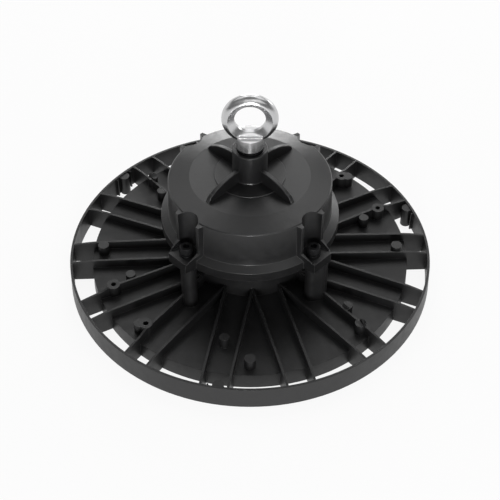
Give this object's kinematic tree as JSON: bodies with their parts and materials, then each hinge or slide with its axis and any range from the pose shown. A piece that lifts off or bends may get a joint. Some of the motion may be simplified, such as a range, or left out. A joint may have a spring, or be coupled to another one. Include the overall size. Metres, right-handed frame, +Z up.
{
  "type": "high bay light",
  "caption": "Round high bay light: open-rimmed finned heat sink over an LED compartment, domed driver housing on a neck, lifting eye on top.",
  "frame": {"origin": "centre of the rim's underside, which the light rests on when it is set down", "axes": "+Z up through the lifting eye, +Y out of the back through the cable gland, along the eye's hole"},
  "size_m": [0.3016, 0.3016, 0.1795],
  "materials": {
    "sink_casting": "matt black powder coat",
    "housing_casting": "satin black powder coat",
    "black_steel": "black oxide",
    "eye_steel": "polished",
    "zinc_steel": "zinc plated",
    "gasket_rubber": "matt silicone",
    "black_rubber": "matt",
    "plain_aluminium": "mill finish",
    "insulating_film": "matt film",
    "green_board": "solder mask",
    "white_board": "white solder mask",
    "thermal_compound": "soft pad",
    "led_phosphor": "yellow phosphor",
    "ferrite_and_wire": "ferrite and tape",
    "enamelled_wire": "enamelled copper",
    "capacitor_sleeve": "shrink sleeve",
    "terminal_plastic": "moulded",
    "lead_insulation": "insulated wire",
    "black_plastic": "moulded nylon",
    "clear_polycarbonate": "clear"
  },
  "bodies": {
    "root": {"heat_sink": "sink_casting", "driver_housing": "housing_casting", "housing_screws": "black_steel", "housing_washers": "black_steel", "eye_bolt": "eye_steel", "eye_washer": "zinc_steel", "eye_spring_washer": "black_steel", "neck_gasket": "gasket_rubber", "base_plate": "plain_aluminium", "base_plate_gasket": "gasket_rubber", "base_plate_screws": "zinc_steel", "insulating_sheet": "insulating_film", "lead_grommet": "black_rubber", "board_standoffs": "zinc_steel", "driver_board": "green_board", "board_screws": "zinc_steel", "transformer": "ferrite_and_wire", "filter_choke": "enamelled_wire", "capacitors": "capacitor_sleeve", "mains_terminal": "terminal_plastic", "earth_screw": "zinc_steel", "output_leads": "lead_insulation", "cable_gland": "black_plastic", "gland_seal": "black_rubber", "gland_cap": "black_plastic", "gland_nut": "black_plastic", "thermal_pad": "thermal_compound", "led_board": "white_board", "led_packages": "led_phosphor", "led_board_screws": "zinc_steel", "lens_gasket": "gasket_rubber", "lens_plate": "clear_polycarbonate", "lens_ring": "black_steel", "lens_ring_screws": "zinc_steel"}
  },
  "joints": []
}
